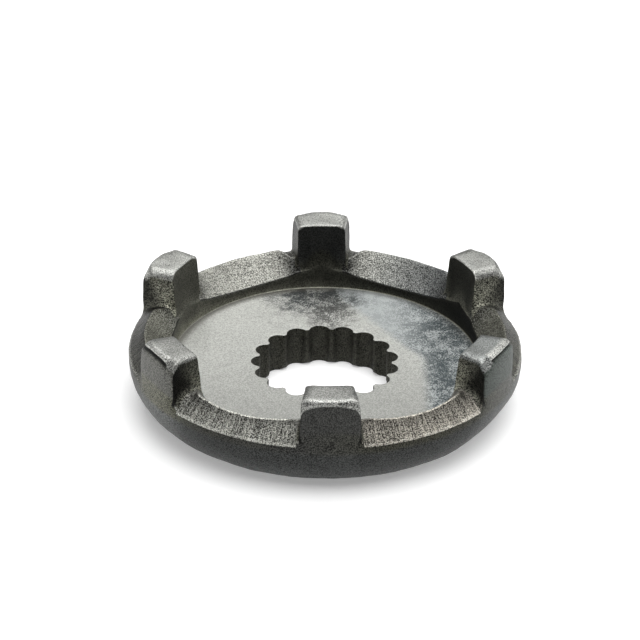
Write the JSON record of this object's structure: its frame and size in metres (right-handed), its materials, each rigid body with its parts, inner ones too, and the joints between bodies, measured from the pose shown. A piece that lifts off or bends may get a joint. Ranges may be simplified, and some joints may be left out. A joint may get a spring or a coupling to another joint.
{
  "type": "kickstart pinion gear",
  "caption": "Round forged steel dog ring with a splined bore through a dished web, and square dogs on a ridged rim for a kick starter to engage.",
  "frame": {"origin": "centre of the bore on the flat underside", "axes": "+Z along the bore axis towards the tops of the dogs, +X towards the middle of a gap between two dogs"},
  "size_m": [0.042, 0.042, 0.0115],
  "materials": {
    "forged_steel": "forged and blasted, bare grey steel"
  },
  "bodies": {
    "root": {"kickstart_pinion": "forged_steel"}
  },
  "joints": []
}
